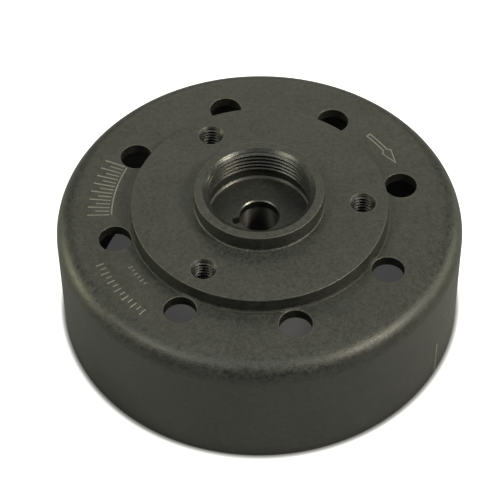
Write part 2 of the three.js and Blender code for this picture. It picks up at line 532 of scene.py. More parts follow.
class Effects:
    """The effects that several finishes share, each a node group built once."""

    MIDDLE_SCALE = 0.33
    FINE_SHARE = 0.5
    SPECKLE_RANGE = (-0.75, 1.35)
    FACET_TONE = 0.40
    FACET_HEIGHT = 0.12
    CLOUD_RANGE = (0.35, 0.65)
    WALL_SHARE = 0.97
    PATCH_SCALE = 900.0
    LEAST_REACH = 0.25
    PATCH_REACH = 1.5
    FADE_POWER = 0.8

    def __init__(self) -> None:
        """Builds the groups."""
        self.grain = self._grain()
        self.turning = self._turning()
        self.ring_edge = self._ring_edge()
        self.hole_edge = self._hole_edge()
        self.clearing = self._clearing()
        self.bored_zone = self._bored_zone()

    @staticmethod
    def _position(wiring: Wiring) -> Socket:
        """The point's place in the object's own frame."""
        return wiring.add("ShaderNodeTexCoord").outputs["Object"]

    def _around(self, wiring: Wiring) -> tuple[Socket, Socket, Socket, Socket]:
        """The point's X, Y and Z, and its distance from the axis."""
        split = wiring.add("ShaderNodeSeparateXYZ")
        wiring.put(self._position(wiring), split.inputs[0])
        x, y, z = split.outputs
        return x, y, z, wiring.hypotenuse(x, y)

    def _grain(self) -> Tree:
        """Crystalline grain of a phosphated or cast surface.

        Returns:
            A group with the outputs Speckle, Cloud and Height.
        """
        tree, w, given, out = new_group(
            "surface_grain",
            {"Grain Size": 0.25 * MM, "Cloud Size": 9 * MM},
            ("Speckle", "Cloud", "Height"),
        )
        place = self._position(w)
        fine_scale = w.math("DIVIDE", 1.0, given.outputs["Grain Size"])
        cloud_scale = w.math("DIVIDE", 1.0, given.outputs["Cloud Size"])
        fine = w.noise(place, fine_scale, 2.0, 0.6)
        middle = w.noise(place, w.math("MULTIPLY", fine_scale, self.MIDDLE_SCALE), 2.0, 0.5)
        cloud = w.noise(place, cloud_scale, 4.0, 0.6)
        crystal = w.add("ShaderNodeTexVoronoi")
        w.put(place, crystal.inputs["Vector"])
        w.put(fine_scale, crystal.inputs["Scale"])
        facet = w.add("ShaderNodeSeparateColor")
        w.put(crystal.outputs["Color"], facet.inputs[0])
        both = w.blend(self.FINE_SHARE, middle, fine)
        tone = w.math("MULTIPLY", facet.outputs[0], self.FACET_TONE)
        w.put(w.math("ADD", w.blend(both, *self.SPECKLE_RANGE), tone, clamp=True), out.inputs["Speckle"])
        w.put(w.remap(cloud, *self.CLOUD_RANGE), out.inputs["Cloud"])
        rise = w.math("MULTIPLY", facet.outputs[1], self.FACET_HEIGHT)
        w.put(w.math("ADD", both, rise), out.inputs["Height"])
        return tree

    def _turning(self) -> Tree:
        """Faint rings that a lathe tool leaves on faces and walls.

        Returns:
            A group with the output Height.
        """
        tree, w, given, out = new_group("turning_rings", {"Feed": 0.15 * MM}, ("Height",))
        _, _, z, radius = self._around(w)
        along = w.math("ADD", radius, w.math("MULTIPLY", z, self.WALL_SHARE))
        rings = w.add("ShaderNodeTexNoise", noise_dimensions="1D")
        w.put(w.math("DIVIDE", along, given.outputs["Feed"]), rings.inputs["W"])
        rings.inputs["Scale"].default_value = 1.0
        rings.inputs["Detail"].default_value = 3.0
        w.put(rings.outputs["Fac"], out.inputs["Height"])
        return tree

    def _clearing(self) -> Tree:
        """Fades in with the distance from the axis.

        Returns:
            A group with the output Mask.
        """
        tree, w, given, out = new_group("clearing", {"Start": 0.0, "End": 1.0}, ("Mask",))
        length = w.add("ShaderNodeVectorMath", operation="LENGTH")
        w.put(self._position(w), length.inputs[0])
        mask = w.remap(length.outputs["Value"], given.outputs["Start"], given.outputs["End"])
        w.put(mask, out.inputs["Mask"])
        return tree

    def _bored_zone(self) -> Tree:
        """Marks the surfaces inside a bore: nearer the axis than a radius, above and below two levels.

        Returns:
            A group with the output Mask.
        """
        tree, w, given, out = new_group("bored_zone", {"Radius": 1.0, "Low": 0.0, "High": 1.0}, ("Mask",))
        _, _, z, radius = self._around(w)
        inside = w.math("LESS_THAN", radius, given.outputs["Radius"])
        above = w.math("GREATER_THAN", z, given.outputs["Low"])
        below = w.math("LESS_THAN", z, given.outputs["High"])
        w.put(w.math("MULTIPLY", inside, w.math("MULTIPLY", above, below)), out.inputs["Mask"])
        return tree

    def _worn(self, w: Wiring, across: object, z: object, given: Node) -> Socket:
        """Wear that fades away from an edge and is broken up by noise.

        Args:
            w: the group's wiring.
            across: the distance from the edge in plan.
            z: the point's height.
            given: the group's input node, with the edge's Height and the wear's Width.

        Returns:
            The mask's socket.
        """
        distance = w.hypotenuse(across, w.math("SUBTRACT", z, given.outputs["Height"]))
        patch = w.noise(self._position(w), self.PATCH_SCALE, 3.0, 0.7)
        spread = w.math("ADD", self.LEAST_REACH, w.math("MULTIPLY", patch, self.PATCH_REACH))
        reach = w.math("MULTIPLY", given.outputs["Width"], spread)
        near = w.math("SUBTRACT", 1.0, w.math("DIVIDE", distance, reach), clamp=True)
        return w.math("POWER", near, self.FADE_POWER)

    def _ring_edge(self) -> Tree:
        """Wear on a round edge about the axis.

        Returns:
            A group with the output Mask.
        """
        tree, w, given, out = new_group(
            "ring_edge_wear", {"Radius": 10 * MM, "Height": 0.0, "Width": 0.4 * MM}, ("Mask",)
        )
        _, _, z, radius = self._around(w)
        across = w.math("SUBTRACT", radius, given.outputs["Radius"])
        w.put(self._worn(w, across, z, given), out.inputs["Mask"])
        return tree

    def _hole_edge(self) -> Tree:
        """Wear on the mouths of equal round holes spaced on a circle about the axis, and painted shade
        inside them.

        Returns:
            A group with the outputs Mask, the wear, and Wall, the painted shade on the hole walls.
        """
        tree, w, given, out = new_group(
            "hole_edge_wear_and_painted_shade",
            {"Circle Radius": 30 * MM, "Hole Radius": 4 * MM, "First Angle": 0.0, "Spacing": 0.7854,
             "Height": 0.0, "Width": 0.3 * MM},
            ("Mask", "Wall"),
        )
        x, y, z, radius = self._around(w)
        spacing, hole_radius = given.outputs["Spacing"], given.outputs["Hole Radius"]
        angle = w.math("SUBTRACT", w.math("ARCTAN2", y, x), given.outputs["First Angle"])
        share = w.math("DIVIDE", angle, spacing)
        folded = w.math("MULTIPLY", w.math("SUBTRACT", share, w.math("ROUND", share)), spacing)
        outward = w.math("MULTIPLY", radius, w.math("COSINE", folded))
        sideways = w.math("MULTIPLY", radius, w.math("SINE", folded))
        from_hole = w.hypotenuse(w.math("SUBTRACT", outward, given.outputs["Circle Radius"]), sideways)
        across = w.math("SUBTRACT", from_hole, hole_radius)
        w.put(self._worn(w, across, z, given), out.inputs["Mask"])
        # Wall: painted shade, rising from the hole's radius to full strength one Width inside it
        inner = w.math("SUBTRACT", hole_radius, given.outputs["Width"])
        w.put(w.remap(from_hole, hole_radius, inner), out.inputs["Wall"])
        return tree


def new_material(name: str) -> tuple[Material, Wiring, Node]:
    """Starts a material.

    Args:
        name: the material's name.

    Returns:
        The material, its wiring and its Principled shader.
    """
    material = bpy.data.materials.new(name)
    material.use_nodes = True
    wiring = Wiring(material.node_tree)
    shader = material.node_tree.nodes["Principled BSDF"]
    return material, wiring, shader


def add_bump(w: Wiring, shader: Node, *layers: tuple[object, float], share: object = 1.0) -> None:
    """Joins height layers into a bump on a shader's Normal.

    Args:
        w: the material's wiring.
        shader: the Principled shader.
        layers: each layer's height between 0 and 1, and its depth in metres.
        share: how much of the bump is kept.
    """
    height: object = 0.0
    for layer, depth in layers:
        height = w.math("ADD", height, w.math("MULTIPLY", layer, depth))
    bump = w.add("ShaderNodeBump")
    bump.inputs["Distance"].default_value = 1.0
    w.put(w.math("MULTIPLY", height, share), bump.inputs["Height"])
    w.put(bump.outputs[0], shader.inputs["Normal"])


@dataclass(frozen=True)
class EdgeRing:
    """A worn round edge about the axis."""

    radius: float
    height: float
    width: float


@dataclass(frozen=True)
class HoleRing:
    """The worn mouths of equal holes on a circle, and the painted shade inside them."""

    circle_radius: float
    hole_radius: float
    first_angle: float
    count: int
    height: float
    width: float


@dataclass(frozen=True)
class BoredZone:
    """A machined surface near the axis whose tool marks show through the phosphate."""

    radius: float
    low: float
    high: float
    roughness: float
    metallic: float = 0.2
    bare: float = 0.0
    # share of darkening towards near-black: painted shade on the socket's floor, a darker band in the bore
    shade: float = 0.0
    calm: float = 0.0


@dataclass(frozen=True)
class PhosphateFinish:
    """Dark grey-green phosphate on machined steel, lightly oiled, rubbed thin on its edges."""

    effects: Effects
    name: str = "phosphated_steel"
    dark: Color = (0.0083, 0.0090, 0.0081)
    light: Color = (0.0531, 0.0542, 0.0475)
    worn: Color = (0.085, 0.082, 0.070)
    bare: Color = (0.150, 0.147, 0.136)
    # near-black: painted shade in the holes and on the socket's floor, and a darker band in the bore
    painted_shade_black: Color = (0.003, 0.003, 0.003)
    # how dark the painted shade on the hole walls gets
    hole_shade: float = 0.8
    cloud_size: float = 11 * MM
    cloud_share: float = 0.11
    wear_metallic: float = 0.4
    gloss: float = 0.61
    brushed: float = 0.0
    brush_turn: float = 0.25
    metallic: float = 0.2
    roughness: tuple[float, float] = (0.36, 0.52)
    grain_size: float = 0.38 * MM
    grain_height: float = 0.09 * MM
    feed: float = 0.22 * MM
    turning_height: float = 0.004 * MM
    edges: tuple[EdgeRing, ...] = ()
    holes: tuple[HoleRing, ...] = ()
    bored: tuple[BoredZone, ...] = ()

    def wear_masks(self, w: Wiring) -> tuple[object, object]:
        """Joins the wear of every edge, and the painted shade inside every hole, into two masks.

        Args:
            w: the material's wiring.

        Returns:
            The wear's socket and the painted hole shade's socket, or 0.0 where there are none.
        """
        masks, walls = [], []
        for ring in self.edges:
            masks.append(w.group(
                self.effects.ring_edge, Radius=ring.radius, Height=ring.height, Width=ring.width
            ).outputs["Mask"])
        for hole in self.holes:
            node = w.group(
                self.effects.hole_edge,
                Circle_Radius=hole.circle_radius,
                Hole_Radius=hole.hole_radius,
                First_Angle=math.radians(hole.first_angle),
                Spacing=2 * math.pi / hole.count,
                Height=hole.height,
                Width=hole.width,
            )
            masks.append(node.outputs["Mask"])
            walls.append(node.outputs["Wall"])
        return self.joined(w, masks), self.joined(w, walls)

    @staticmethod
    def joined(w: Wiring, masks: Sequence[object]) -> object:
        """The greatest of several masks, or 0.0 where there are none."""
        result: object = 0.0
        for mask in masks:
            result = mask if isinstance(result, float) else w.math("MAXIMUM", result, mask)
        return result

    def material(self) -> Material:
        """Builds the material."""
        material, w, shader = new_material(self.name)
        grain = w.group(self.effects.grain, Grain_Size=self.grain_size, Cloud_Size=self.cloud_size)
        rings = w.group(self.effects.turning, Feed=self.feed)
        tone = w.blend(self.cloud_share, grain.outputs["Speckle"], grain.outputs["Cloud"])
        base = w.mix(tone, rgba(self.dark), rgba(self.light))
        wear, walls = self.wear_masks(w)
        colored = w.mix(wear, base, rgba(self.worn))
        # painted shade on the walls inside the holes, darkening towards near-black
        colored = w.mix(w.math("MULTIPLY", walls, self.hole_shade), colored, rgba(self.painted_shade_black))
        rough = w.remap(grain.outputs["Speckle"], 0.0, 1.0, *self.roughness)
        metal = w.math("ADD", self.metallic, w.math("MULTIPLY", wear, self.wear_metallic), clamp=True)
        bump_share: object = 1.0
        for zone in self.bored:
            mask = w.group(
                self.effects.bored_zone, Radius=zone.radius, Low=zone.low, High=zone.high
            ).outputs["Mask"]
            colored = w.mix(w.math("MULTIPLY", mask, zone.bare), colored, rgba(self.bare))
            # each zone's shade darkens towards near-black: painted shade on the socket's floor, a darker
            # band in the bore
            colored = w.mix(w.math("MULTIPLY", mask, zone.shade), colored, rgba(self.painted_shade_black))
            rough = w.blend(mask, rough, zone.roughness)
            metal = w.blend(mask, metal, zone.metallic)
            bump_share = w.blend(mask, bump_share, 1.0 - zone.calm)
        shader.inputs["Specular IOR Level"].default_value = self.gloss
        if self.brushed:
            shader.inputs["Anisotropic"].default_value = self.brushed
            shader.inputs["Anisotropic Rotation"].default_value = self.brush_turn
            tangent = w.add("ShaderNodeTangent", direction_type="RADIAL", axis="Z")
            w.put(tangent.outputs[0], shader.inputs["Tangent"])
        w.put(colored, shader.inputs["Base Color"])
        w.put(rough, shader.inputs["Roughness"])
        w.put(metal, shader.inputs["Metallic"])
        layers = (grain.outputs["Height"], self.grain_height), (rings.outputs["Height"], self.turning_height)
        add_bump(w, shader, *layers, share=bump_share)
        return material


@dataclass(frozen=True)
class PlainFinish:
    """A finish of two tones and a grain, for the smaller pieces."""

    effects: Effects
    name: str
    dark: Color
    light: Color
    metallic: float = 0.0
    roughness: tuple[float, float] = (0.4, 0.6)
    grain_size: float = 0.3 * MM
    grain_height: float = 0.02 * MM
    feed: float = 0.2 * MM
    turning_height: float = 0.0
    cloud_size: float = 6 * MM
    cloud_share: float = 0.5

    def material(self) -> Material:
        """Builds the material."""
        material, w, shader = new_material(self.name)
        grain = w.group(self.effects.grain, Grain_Size=self.grain_size, Cloud_Size=self.cloud_size)
        rings = w.group(self.effects.turning, Feed=self.feed)
        tone = w.blend(self.cloud_share, grain.outputs["Speckle"], grain.outputs["Cloud"])
        w.put(w.mix(tone, rgba(self.dark), rgba(self.light)), shader.inputs["Base Color"])
        w.put(w.remap(grain.outputs["Cloud"], 0.0, 1.0, *self.roughness), shader.inputs["Roughness"])
        shader.inputs["Metallic"].default_value = self.metallic
        layers = (grain.outputs["Height"], self.grain_height), (rings.outputs["Height"], self.turning_height)
        add_bump(w, shader, *layers)
        return material


class Slot(Enum):
    """The record's material slots."""

    STEEL = "phosphated_steel"
    SHEET = "stainless_sheet"
    NYLON = "black_nylon"
    FERRITE = "ferrite"
    RESIN = "filler_resin"


def dress(piece: Object, material: Material, slot: Slot, *replaced: str) -> None:
    """Gives a finished piece its material and its place in the frame.

    Args:
        piece: the finished piece.
        material: its material.
        slot: the record's slot; not used.
        replaced: the frame's nodes that it stands for.
    """
    piece.data.materials.clear()
    piece.data.materials.append(material)
    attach(piece, BODY)
    if replaced:
        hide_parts(*replaced)
    LOG.info("%s: %d faces", piece.name, len(piece.data.polygons))


# ---------------------------------------------------------------- sub-assemblies


@dataclass(frozen=True)
class TappedHoles:
    """Three M6 tapped holes through the hub's flange and the cup's web."""

    count: int = 3
    circle_radius: float = 26.3 * MM
    first_angle: float = -2.3
    major_radius: float = 3.0 * MM
    pitch: float = 1.0 * MM
    mouth_radius: float = 3.3 * MM
    wear_width: float = 0.28 * MM
    face: float = field(default_factory=lambda: mount_height("flange_face"))
    bottom: float = 29.8 * MM

    def cutters(self) -> list[Mesh]:
        """The three taps, in place."""
        tap = ThreadTool(
            self.major_radius, self.pitch, self.bottom, self.face, self.mouth_radius, columns=56
        ).mesh()
        return round_the_axis(tap, self.circle_radius, self.first_angle, self.count)

    def wear(self) -> HoleRing:
        """The worn countersinks, and the painted shade inside the tapped holes."""
        return HoleRing(
            self.circle_radius, self.mouth_radius, self.first_angle, self.count, self.face, self.wear_width
        )


@dataclass(frozen=True)
class RotorCup:
    """Deep steel cup: flat web with vent holes, rounded corner, plain wall and open rim."""

    tapped: TappedHoles
    segments: int = 288
    outer_radius: float = field(default_factory=lambda: half_width("rotor_cup"))
    land_top: float = field(default_factory=lambda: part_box("rotor_cup")[1].z)
    land_height: float = 0.25 * MM
    land_radius: float = 33.4 * MM
    web_thickness: float = 3.0 * MM
    wall: float = 3.0 * MM
    corner: float = 5.2 * MM
    inner_corner: float = 3.0 * MM
    rim_blend: float = 0.45 * MM
    web_bore: float = 18.0 * MM
    vent_count: int = 8
    vent_radius: float = 4.1 * MM
    vent_circle: float = 37.5 * MM
    vent_first_angle: float = 13.0
    vent_mouth: float = 0.22 * MM
    rim_wear: float = 0.9 * MM
    edge_wear: float = 0.25 * MM

    @property
    def web_top(self) -> float:
        """Height of the web's outer face."""
        return self.land_top - self.land_height

    @property
    def web_bottom(self) -> float:
        """Height of the web's inner face."""
        return self.web_top - self.web_thickness

    def corners(self) -> list[Corner]:
        """The cup's section."""
        inside = self.outer_radius - self.wall
        return [
            Corner(inside, 0.0, self.rim_blend),
            Corner(self.outer_radius, 0.0, self.rim_blend),
            Corner(self.outer_radius, self.web_top, self.corner),
            Corner(self.land_radius, self.web_top, 0.06 * MM),
            Corner(self.land_radius, self.land_top, 0.08 * MM),
            Corner(self.web_bore, self.land_top),
            Corner(self.web_bore, self.web_bottom, 0.2 * MM),
            Corner(inside, self.web_bottom, self.inner_corner),
        ]

    def vent_cutters(self) -> list[Mesh]:
        """The vent holes' cutters, in place."""
        tool = RoundHoleTool(self.vent_radius, self.web_bottom, self.web_top, self.vent_mouth).mesh()
        return round_the_axis(tool, self.vent_circle, self.vent_first_angle, self.vent_count)

    def finish(self, effects: Effects) -> PhosphateFinish:
        """The cup's phosphate, with its worn edges and the painted shade inside its vent holes."""
        return PhosphateFinish(
            effects,
            name="cup_phosphate",
            edges=(
                EdgeRing(self.outer_radius, 0.0, self.rim_wear),
                EdgeRing(self.land_radius, self.land_top, self.edge_wear),
            ),
            holes=(HoleRing(
                self.vent_circle, self.vent_radius + self.vent_mouth / 2, self.vent_first_angle,
                self.vent_count, self.web_top, self.edge_wear,
            ),),
        )

    def build(self, effects: Effects) -> Object:
        """Builds and dresses the cup.

        Args:
            effects: the shared shader effects.

        Returns:
            The cup's object.
        """
        cup = turned_piece("cup_shell", self.corners(), self.segments)
        cut_away(cup, self.vent_cutters() + self.tapped.cutters())
        smooth(cup)
        dress(cup, self.finish(effects).material(), Slot.STEEL, "rotor_cup")
        return cup


@dataclass(frozen=True)
class Hub:
    """Turned hub: flange on the web, collar with the puller thread, boss with the keyed taper."""

    tapped: TappedHoles
    land_top: float
    segments: int = 256
    flange_radius: float = field(default_factory=lambda: half_width("hub"))
    flange_top: float = field(default_factory=lambda: mount_height("flange_face"))
    collar_top: float = field(default_factory=lambda: mount_height("collar_face"))
    floor: float = field(default_factory=lambda: mount_height("nut_seat"))
    boss_bottom: float = field(default_factory=lambda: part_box("hub")[0].z)
    collar_radius: float = 16.5 * MM
    collar_foot: float = 0.55 * MM
    spigot_radius: float = 17.96 * MM
    spigot_length: float = 3.4 * MM
    boss_radius: float = 14.5 * MM
    thread_major: float = 13.5 * MM
    thread_pitch: float = 1.25 * MM
    thread_bottom: float = 35.0 * MM
    mouth_radius: float = 14.26 * MM
    mouth_slope: float = 1.43
    relief_radius: float = 13.35 * MM
    relief_bottom: float = 32.85 * MM
    ledge_radius: float = 13.15 * MM
    floor_radius: float = 12.75 * MM
    tap_allowance: float = 1.1 * MM
    edge_wear: float = 0.3 * MM
    taper_radius: float = 4.97 * MM
    taper_slope: float = 0.1
    ground_start: float = 2.7 * MM
    taper_chamfer: float = 0.42 * MM
    key_angle: float = -164.0
    key_width: float = 2.0 * MM
    key_depth: float = 2.1 * MM
    key_blend: float = 0.2 * MM
    key_root: float = 2.5 * MM
    key_overshoot: float = 0.9 * MM

    def taper_at(self, height: float) -> float:
        """Radius of the taper bore at a height."""
        return self.taper_radius + self.taper_slope * (self.floor - height)

    def corners(self) -> list[Corner]:
        """The hub's section, its socket left undersize for the tap."""
        flange_bottom = self.land_top + 0.01 * MM
        spigot_bottom = flange_bottom - self.spigot_length
        undersize = self.thread_major - self.tap_allowance
        chamfer_foot = self.floor - 0.8 * self.taper_chamfer
        relief_top = self.thread_bottom + 0.3 * MM
        return [
            Corner(self.taper_at(self.boss_bottom), self.boss_bottom, 0.35 * MM),
            Corner(self.boss_radius, self.boss_bottom, 0.8 * MM),
            Corner(self.boss_radius, spigot_bottom, 0.3 * MM),
            Corner(self.spigot_radius, spigot_bottom, 0.25 * MM),
            Corner(self.spigot_radius, flange_bottom),
            Corner(self.flange_radius, flange_bottom, 0.12 * MM),
            Corner(self.flange_radius, self.flange_top, 0.28 * MM),
            Corner(self.collar_radius, self.flange_top, self.collar_foot),
            Corner(self.collar_radius, self.collar_top, 0.25 * MM),
            Corner(undersize, self.collar_top),
            Corner(undersize, relief_top),
            Corner(self.relief_radius, relief_top),
            Corner(self.relief_radius, self.relief_bottom, 0.08 * MM),
            Corner(self.ledge_radius, self.relief_bottom - 0.02 * MM, 0.08 * MM),
            Corner(self.floor_radius, self.floor, 0.12 * MM),
            Corner(self.taper_radius + self.taper_chamfer, self.floor, 0.05 * MM),
            Corner(self.taper_at(chamfer_foot), chamfer_foot, 0.05 * MM),
            Corner(self.taper_at(self.ground_top), self.ground_top),
        ]

    def thread_cutter(self) -> Mesh:
        """The puller thread's tap, with the mouth's flare."""
        return ThreadTool(
            self.thread_major,
            self.thread_pitch,
            self.thread_bottom,
            self.collar_top,
            self.mouth_radius,
            self.mouth_slope,
            columns=224,
        ).mesh()

    def keyway_cutter(self) -> Mesh:
        """A bar along the taper, its outer corners rounded."""
        half, blend, deep = self.key_width / 2, self.key_blend, self.key_depth
        section = [(-self.key_root, -half), (deep - blend, -half), (deep, -half + blend)]
        section += [(deep, half - blend), (deep - blend, half), (-self.key_root, half)]
        verts = []
        for level in (self.boss_bottom - self.key_overshoot, self.floor + self.key_overshoot):
            verts += [(self.taper_at(level) + out, across, level) for out, across in section]
        count = len(section)
        faces: list[Sequence[int]] = [tuple(range(count))[::-1], tuple(range(count, 2 * count))]
        for i in range(count):
            k = (i + 1) % count
            faces.append((i, k, count + k, count + i))
        bar = clean_mesh("keyway", np.array(verts), faces)
        bar.transform(Matrix.Rotation(math.radians(self.key_angle), 4, "Z"))
        return bar

    @property
    def taper_zone(self) -> float:
        """A radius just outside the taper bore's wide end."""
        return self.taper_at(self.boss_bottom) + 0.3 * MM

    @property
    def ground_top(self) -> float:
        """The height where the taper's ground length ends."""
        return self.floor - self.ground_start

    def mark_taper(self, mesh: Mesh) -> None:
        """Gives the taper's wall the second material, whose tool marks run round the bore."""
        for face in mesh.polygons:
            inside = face.center.xy.length < self.taper_zone
            face.material_index = int(inside and face.center.z < self.ground_top)

    def finish(self, effects: Effects) -> PhosphateFinish:
        """The hub's phosphate, with its worn edges, machined bores, painted shade in its tapped holes and on
        the socket's floor, and a darker band in the bore.
        """
        taper_zone, ground_top = self.taper_zone, self.ground_top
        chamfer_low = self.floor - self.taper_chamfer
        relief, ledge = self.relief_radius, self.relief_bottom + 0.1 * MM
        mouth_zone = self.mouth_radius + 0.03 * MM
        below, above = -1.0, 1.0
        return PhosphateFinish(
            effects,
            name="hub_phosphate",
            edges=(
                EdgeRing(self.flange_radius, self.flange_top, self.edge_wear),
                EdgeRing(self.collar_radius, self.collar_top, self.edge_wear),
            ),
            holes=(self.tapped.wear(),),
            bored=(
                BoredZone(taper_zone, below, ground_top, 0.42, 0.22, bare=0.35, calm=0.8),
                # the bore wall between the chamfer and the ground taper, darkened towards near-black
                BoredZone(taper_zone, ground_top, chamfer_low, 0.5, shade=0.75, calm=0.5),
                BoredZone(taper_zone, chamfer_low, self.floor - 0.03 * MM, 0.34, 0.8, bare=0.9, calm=0.8),
                # painted shade: the socket's floor darkened where the collar keeps light out
                BoredZone(relief, self.floor - 0.05 * MM, self.floor + 0.06 * MM, 0.48, shade=0.3),
                BoredZone(relief, self.floor + 0.08 * MM, ledge, 0.3, 0.6, bare=0.8, calm=0.8),
                BoredZone(mouth_zone, ledge + 0.2 * MM, above, 0.3, 0.35, calm=0.6),
            ),
        )

    def build(self, effects: Effects) -> Object:
        """Builds and dresses the hub.

        Args:
            effects: the shared shader effects.

        Returns:
            The hub's object.
        """
        hub = turned_piece("hub_body", self.corners(), self.segments)
        cut_away(hub, [self.thread_cutter(), *self.tapped.cutters()])
        cut_away(hub, [self.keyway_cutter()])
        smooth(hub)
        body = self.finish(effects)
        dress(hub, body.material(), Slot.STEEL, "hub")
        hub.data.materials.append(replace(body, name="hub_ground_taper", brushed=1.0).material())
        self.mark_taper(hub.data)
        return hub


@dataclass(frozen=True)
class MagnetRing:
    """Arc magnets with filler wedges between them, a thin sleeve and the ring they seat on."""

    count: int = 8
    inner_radius: float = 44.7 * MM
    outer_radius: float = 48.7 * MM
    span: float = 39.0
    bottom: float = field(default_factory=lambda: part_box("magnet_1")[0].z)
    top: float = field(default_factory=lambda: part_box("magnet_1")[1].z)
    wedge_gap: float = 0.12 * MM
    sleeve_radius: float = 43.9 * MM
    sleeve_thickness: float = 0.5 * MM
    sleeve_bottom: float = field(default_factory=lambda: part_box("magnet_sleeve")[0].z)
    lip_radius: float = field(default_factory=lambda: half_width("magnet_sleeve"))
    seat_inner: float = 44.0 * MM
    seat_outer: float = field(default_factory=lambda: half_width("magnet_seat_ring"))
    seat_bevel: float = 46.6 * MM
    seat_bottom: float = field(default_factory=lambda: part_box("magnet_seat_ring")[0].z)
    seat_top: float = field(default_factory=lambda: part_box("magnet_seat_ring")[1].z)
    segments: int = 192

    def block(
        self, name: str, half_inner: float, half_outer: float, steps: int, middle: float
    ) -> Object:
        """Builds an arc block between the ring's two radii.

        Args:
            name: the block's name.
            half_inner: half of its angle at the inner radius, in degrees.
            half_outer: half of its angle at the outer radius, in degrees.
            steps: segments along the arc.
            middle: the angle of its middle from +X, in degrees.

        Returns:
            The block's object, its edges not yet rounded.
        """
        verts: list[Point3] = []
        for k in range(steps + 1):
            share = 2 * k / steps - 1
            for radius, half in ((self.inner_radius, half_inner), (self.outer_radius, half_outer)):
                angle = math.radians(middle + share * half)
                for height in (self.bottom, self.top):
                    verts.append((radius * math.cos(angle), radius * math.sin(angle), height))
        faces: list[tuple[int, ...]] = [(1, 0, 2, 3)]
        for k in range(steps):
            a, b = 4 * k, 4 * (k + 1)
            faces += [(a, a + 1, b + 1, b), (a + 3, a + 2, b + 2, b + 3)]
            faces += [(a + 2, a, b, b + 2), (a + 1, a + 3, b + 3, b + 1)]
        last = 4 * steps
        faces.append((last + 1, last + 3, last + 2, last))
        return new_object(name, clean_mesh(name, np.array(verts), faces))

    def build_magnets(self, material: Material) -> None:
        """Builds the magnets."""
        for i in range(self.count):
            middle = 360 * i / self.count
            magnet = self.block(f"magnet_block_{i + 1}", self.span / 2, self.span / 2, 20, middle)
            soften_edges(magnet, 0.45 * MM)
            smooth(magnet)
            dress(magnet, material, Slot.FERRITE, f"magnet_{i + 1}")

    def build_wedges(self, material: Material) -> None:
        """Builds the filler wedges."""
        half_space = 180 / self.count - self.span / 2
        clear = [math.degrees(self.wedge_gap / r) for r in (self.inner_radius, self.outer_radius)]
        for i in range(self.count):
            middle = 360 * (i + 0.5) / self.count
            wedge = self.block(
                f"resin_wedge_{i + 1}", half_space - clear[0], half_space - clear[1], 8, middle
            )
            soften_edges(wedge, 0.3 * MM)
            smooth(wedge)
            dress(wedge, material, Slot.RESIN, f"filler_wedge_{i + 1}")

    def build_sleeve(self, material: Material) -> None:
        """Builds the thin sleeve with its rolled lip."""
        outer = self.sleeve_radius + self.sleeve_thickness
        lip_top = self.sleeve_bottom + self.sleeve_thickness
        corners = [
            Corner(self.sleeve_radius, self.sleeve_bottom, 0.7 * MM),
            Corner(self.lip_radius, self.sleeve_bottom, 0.15 * MM),
            Corner(self.lip_radius, lip_top, 0.15 * MM),
            Corner(outer, lip_top, 0.2 * MM),
            Corner(outer, self.top, 0.1 * MM),
            Corner(self.sleeve_radius, self.top, 0.1 * MM),
        ]
        sleeve = turned_piece("liner_sleeve", corners, self.segments)
        smooth(sleeve)
        dress(sleeve, material, Slot.SHEET, "magnet_sleeve")

    def build_seat_ring(self, material: Material) -> None:
        """Builds the moulded ring between the web and the magnets."""
        corners = [
            Corner(self.seat_inner, self.seat_bottom, 0.2 * MM),
            Corner(self.seat_outer, self.seat_bottom, 0.1 * MM),
            Corner(self.seat_outer, self.seat_bottom + 0.4 * MM, 0.1 * MM),
            Corner(self.seat_bevel, self.seat_top, 0.2 * MM),
            Corner(self.seat_inner, self.seat_top, 0.3 * MM),
        ]
        ring = turned_piece("seat_ring", corners, self.segments)
        smooth(ring)
        dress(ring, material, Slot.NYLON, "magnet_seat_ring")

    def build(self, effects: Effects) -> None:
        """Builds and dresses the whole ring.

        Args:
            effects: the shared shader effects.
        """
        ferrite = PlainFinish(
            effects, "ferrite", (0.030, 0.031, 0.034), (0.062, 0.063, 0.068),
            metallic=0.1, roughness=(0.5, 0.7), grain_size=0.22 * MM, grain_height=0.03 * MM,
        )
        resin = PlainFinish(
            effects, "filler_resin", (0.085, 0.055, 0.024), (0.16, 0.11, 0.055),
            roughness=(0.25, 0.45), grain_size=0.8 * MM, grain_height=0.04 * MM,
        )
        sheet = PlainFinish(
            effects, "stainless_sheet", (0.36, 0.36, 0.35), (0.45, 0.45, 0.44),
            metallic=1.0, roughness=(0.33, 0.37), grain_size=0.2 * MM, grain_height=0.004 * MM,
            feed=0.1 * MM, turning_height=0.004 * MM,
        )
        nylon = PlainFinish(
            effects, "black_nylon", (0.014, 0.014, 0.015), (0.024, 0.024, 0.026), roughness=(0.42, 0.6)
        )
        self.build_magnets(ferrite.material())
        self.build_wedges(resin.material())
        self.build_sleeve(sheet.material())
        self.build_seat_ring(nylon.material())


@dataclass(frozen=True)
class TickRow:
    """A row of plain radial ticks on the web."""

    radius: float
    first: float
    last: float
    count: int
    long: float
    short: float
    line: float
    baseline: bool = False


